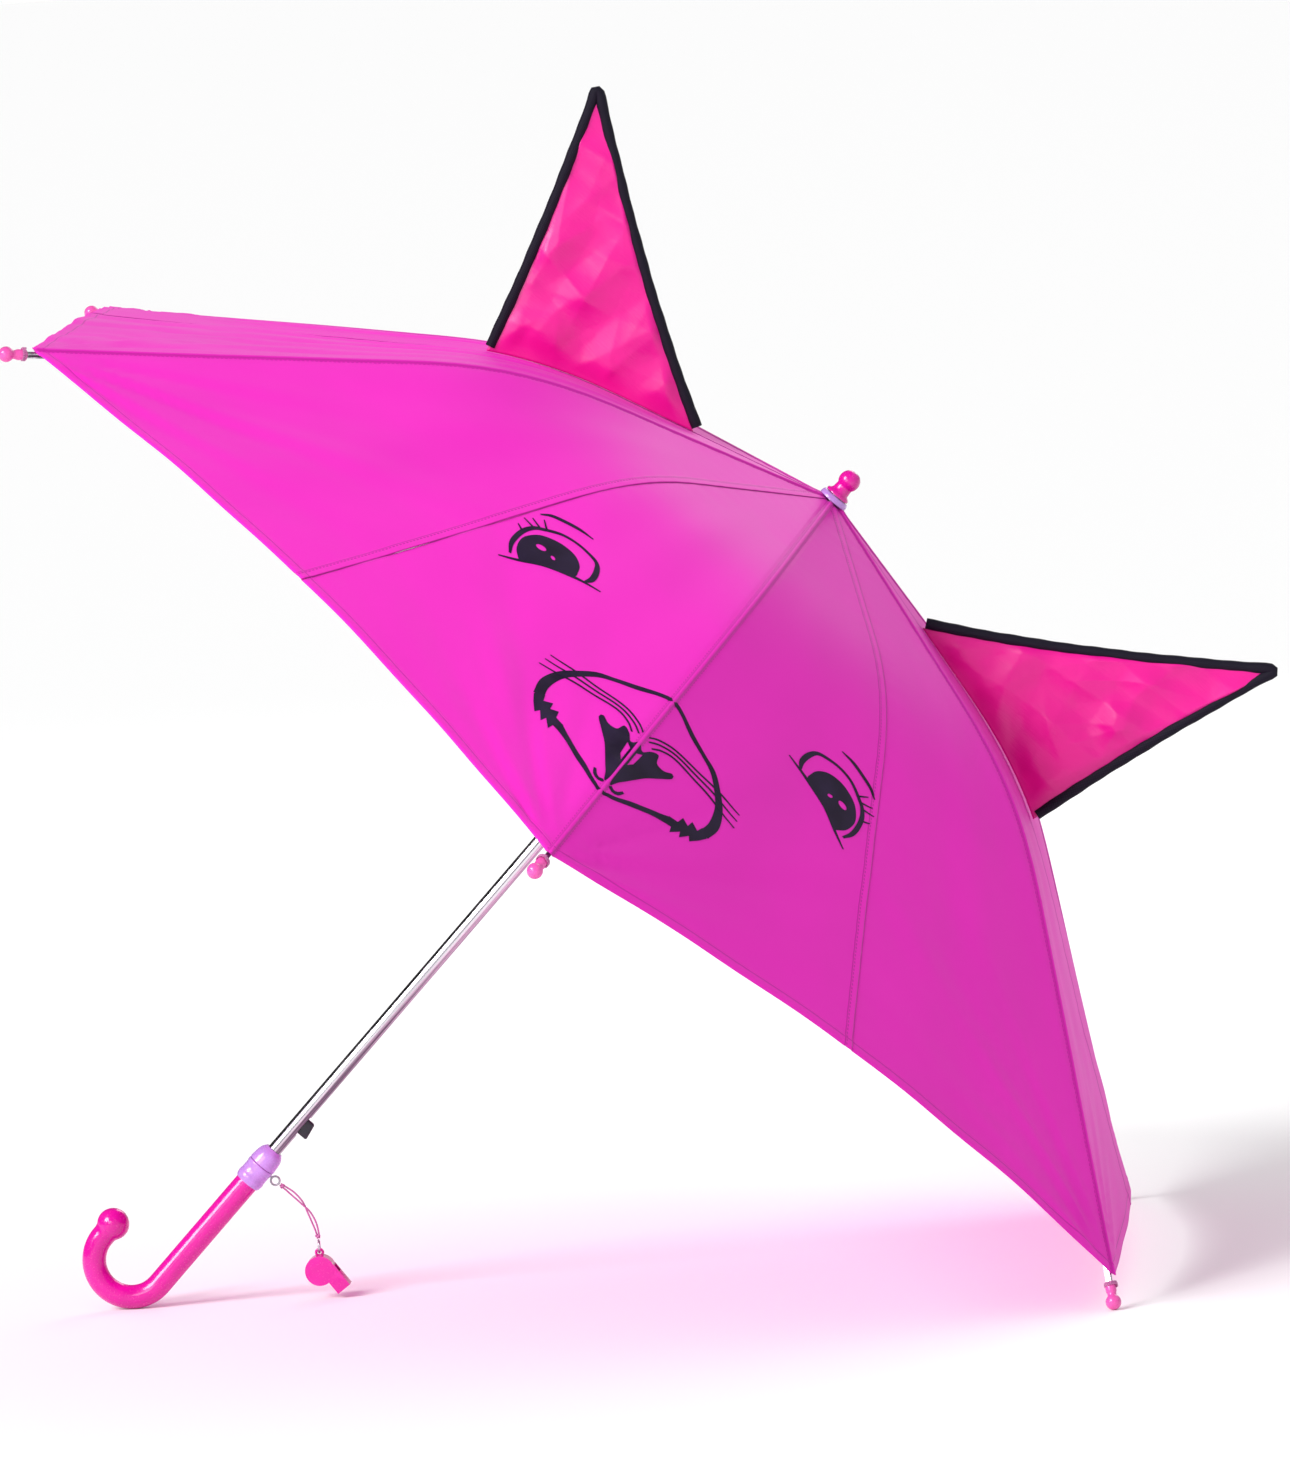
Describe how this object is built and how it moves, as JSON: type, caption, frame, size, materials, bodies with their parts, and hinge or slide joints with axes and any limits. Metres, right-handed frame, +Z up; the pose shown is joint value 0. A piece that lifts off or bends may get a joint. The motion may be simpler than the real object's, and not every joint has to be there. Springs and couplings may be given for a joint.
{
  "type": "children's umbrella",
  "caption": "Child's stick umbrella with an animal-face canopy, two standing fabric ears, a hooked handle and a whistle on a cord.",
  "frame": {"origin": "on the surface that the open umbrella lies on, under the middle of its box", "axes": "+Z up; the open umbrella lies on its hook and its two lowest rib tips, with the shaft rising towards +X at 45.8 degrees and the printed face towards -Y"},
  "size_m": [0.6876, 0.9204, 0.6666],
  "materials": {
    "canopy_cloth": "thin coated polyester, satin sheen",
    "ear_satin": "crumpled hot-pink satin",
    "black_trim": "woven black binding and printed ink",
    "magenta_plastic": "moulded, glossy, slightly translucent",
    "lilac_plastic": "moulded, pearly",
    "black_plastic": "moulded, fine grain",
    "chromed_tube": "polished, drawn lengthwise",
    "zinc_steel": "zinc plated, satin",
    "cord_yarn": "twisted string"
  },
  "bodies": {
    "frame": {"shaft": "chromed_tube", "crown": "zinc_steel", "finial_ring": "lilac_plastic", "finial": "magenta_plastic", "runner_stop": "zinc_steel", "opening_spring": "zinc_steel", "spring_seat": "zinc_steel", "ferrule": "lilac_plastic", "ferrule_band": "lilac_plastic", "handle": "magenta_plastic", "cord_eyelet": "zinc_steel"},
    "rib_arm_1": {"rib_1": "zinc_steel", "rib_tip_1": "magenta_plastic", "gore_1_left": "canopy_cloth", "gore_1_right": "canopy_cloth"},
    "rib_arm_2": {"rib_2": "zinc_steel", "rib_tip_2": "magenta_plastic", "gore_2_left": "canopy_cloth", "gore_2_right": "canopy_cloth"},
    "rib_arm_3": {"rib_3": "zinc_steel", "rib_tip_3": "magenta_plastic", "gore_3_left": "canopy_cloth", "gore_3_right": "canopy_cloth"},
    "rib_arm_4": {"rib_4": "zinc_steel", "rib_tip_4": "magenta_plastic", "gore_4_left": "canopy_cloth", "gore_4_right": "canopy_cloth", "tie_strap": "canopy_cloth"},
    "rib_arm_5": {"rib_5": "zinc_steel", "rib_tip_5": "magenta_plastic", "gore_5_left": "canopy_cloth", "gore_5_right": "canopy_cloth"},
    "rib_arm_6": {"rib_6": "zinc_steel", "rib_tip_6": "magenta_plastic", "gore_6_left": "canopy_cloth", "gore_6_right": "canopy_cloth"},
    "stretcher_arm_1": {"stretcher_1": "zinc_steel"},
    "stretcher_arm_2": {"stretcher_2": "zinc_steel"},
    "stretcher_arm_3": {"stretcher_3": "zinc_steel"},
    "stretcher_arm_4": {"stretcher_4": "zinc_steel"},
    "stretcher_arm_5": {"stretcher_5": "zinc_steel"},
    "stretcher_arm_6": {"stretcher_6": "zinc_steel"},
    "runner_slider": {"runner": "magenta_plastic"},
    "right_ear": {"ear_right_face": "ear_satin", "ear_right_back": "canopy_cloth", "ear_right_piping": "black_trim"},
    "left_ear": {"ear_left_face": "ear_satin", "ear_left_back": "canopy_cloth", "ear_left_piping": "black_trim"},
    "button": {"release_button": "black_plastic"},
    "hanging_whistle": {"whistle_cord": "cord_yarn", "whistle_ring": "zinc_steel", "whistle": "magenta_plastic"}
  },
  "joints": [
    {"name": "rib_1_fold", "type": "hinge", "parent": "frame", "child": "rib_arm_1", "pos_m": [0.10345, -0.009, 0.42963], "axis": [0.7174, 0, -0.6966], "range_deg": [0, 64], "deforming": ["gore_1_left", "gore_1_right"]},
    {"name": "rib_2_fold", "type": "hinge", "parent": "frame", "child": "rib_arm_2", "pos_m": [0.10905, -0.0045, 0.4242], "axis": [0.3587, 0.866, -0.3483], "range_deg": [0, 64], "deforming": ["gore_2_left", "gore_2_right"]},
    {"name": "rib_3_fold", "type": "hinge", "parent": "frame", "child": "rib_arm_3", "pos_m": [0.10905, 0.0045, 0.4242], "axis": [-0.3587, 0.866, 0.3483], "range_deg": [0, 64], "deforming": ["gore_3_left", "gore_3_right"]},
    {"name": "rib_4_fold", "type": "hinge", "parent": "frame", "child": "rib_arm_4", "pos_m": [0.10345, 0.009, 0.42963], "axis": [-0.7174, 0, 0.6966], "range_deg": [0, 64], "deforming": ["gore_4_left", "gore_4_right", "tie_strap"]},
    {"name": "rib_5_fold", "type": "hinge", "parent": "frame", "child": "rib_arm_5", "pos_m": [0.09786, 0.0045, 0.43506], "axis": [-0.3587, -0.866, 0.3483], "range_deg": [0, 64], "deforming": ["gore_5_left", "gore_5_right"]},
    {"name": "rib_6_fold", "type": "hinge", "parent": "frame", "child": "rib_arm_6", "pos_m": [0.09786, -0.0045, 0.43506], "axis": [0.3587, -0.866, -0.3483], "range_deg": [0, 64], "deforming": ["gore_6_left", "gore_6_right"]},
    {"name": "stretcher_1_hinge", "type": "hinge", "parent": "rib_arm_1", "child": "stretcher_arm_1", "pos_m": [0.06774, -0.20725, 0.39286], "axis": [0.7174, 0, -0.6966], "range_deg": [-128, 0]},
    {"name": "stretcher_2_hinge", "type": "hinge", "parent": "rib_arm_2", "child": "stretcher_arm_2", "pos_m": [0.19651, -0.10362, 0.26782], "axis": [0.3587, 0.866, -0.3483], "range_deg": [-128, 0]},
    {"name": "stretcher_3_hinge", "type": "hinge", "parent": "rib_arm_3", "child": "stretcher_arm_3", "pos_m": [0.19651, 0.10362, 0.26782], "axis": [-0.3587, 0.866, 0.3483], "range_deg": [-128, 0]},
    {"name": "stretcher_4_hinge", "type": "hinge", "parent": "rib_arm_4", "child": "stretcher_arm_4", "pos_m": [0.06774, 0.20725, 0.39286], "axis": [-0.7174, 0, 0.6966], "range_deg": [-128, 0]},
    {"name": "stretcher_5_hinge", "type": "hinge", "parent": "rib_arm_5", "child": "stretcher_arm_5", "pos_m": [-0.06103, 0.10362, 0.51789], "axis": [-0.3587, -0.866, 0.3483], "range_deg": [-128, 0]},
    {"name": "stretcher_6_hinge", "type": "hinge", "parent": "rib_arm_6", "child": "stretcher_arm_6", "pos_m": [-0.06103, -0.10362, 0.51789], "axis": [0.3587, -0.866, -0.3483], "range_deg": [-128, 0]},
    {"name": "runner_slide", "type": "slide", "parent": "frame", "child": "runner_slider", "axis": [-0.6966, 0, -0.7174], "range_m": [0, 0.29898]},
    {"name": "right_ear_fold", "type": "hinge", "parent": "frame", "child": "right_ear", "pos_m": [0.10991, 0, 0.42337], "axis": [0, 1, 0], "range_deg": [0, 64]},
    {"name": "left_ear_fold", "type": "hinge", "parent": "frame", "child": "left_ear", "pos_m": [0.097, 0, 0.4359], "axis": [0, -1, 0], "range_deg": [0, 64]},
    {"name": "button_press", "type": "slide", "parent": "frame", "child": "button", "axis": [-0.7174, 0, 0.6966], "range_m": [0, 0.0035], "stiffness_N_per_m": 400},
    {"name": "whistle_swing", "type": "hinge", "parent": "frame", "child": "hanging_whistle", "pos_m": [-0.23131, 0, 0.06822], "axis": [0, 1, 0], "range_deg": [-45, 20]}
  ],
  "couplings": [
    {"joint": "stretcher_1_hinge", "follows": "rib_1_fold", "ratio": -2},
    {"joint": "stretcher_2_hinge", "follows": "rib_1_fold", "ratio": -2},
    {"joint": "stretcher_3_hinge", "follows": "rib_1_fold", "ratio": -2},
    {"joint": "stretcher_4_hinge", "follows": "rib_1_fold", "ratio": -2},
    {"joint": "stretcher_5_hinge", "follows": "rib_1_fold", "ratio": -2},
    {"joint": "stretcher_6_hinge", "follows": "rib_1_fold", "ratio": -2},
    {"joint": "runner_slide", "follows": "rib_1_fold", "m_per_rad": 0.26748},
    {"joint": "right_ear_fold", "follows": "rib_1_fold", "ratio": 1},
    {"joint": "left_ear_fold", "follows": "rib_1_fold", "ratio": 1},
    {"joint": "rib_2_fold", "follows": "rib_1_fold", "ratio": 1},
    {"joint": "rib_3_fold", "follows": "rib_1_fold", "ratio": 1},
    {"joint": "rib_4_fold", "follows": "rib_1_fold", "ratio": 1},
    {"joint": "rib_5_fold", "follows": "rib_1_fold", "ratio": 1},
    {"joint": "rib_6_fold", "follows": "rib_1_fold", "ratio": 1}
  ]
}
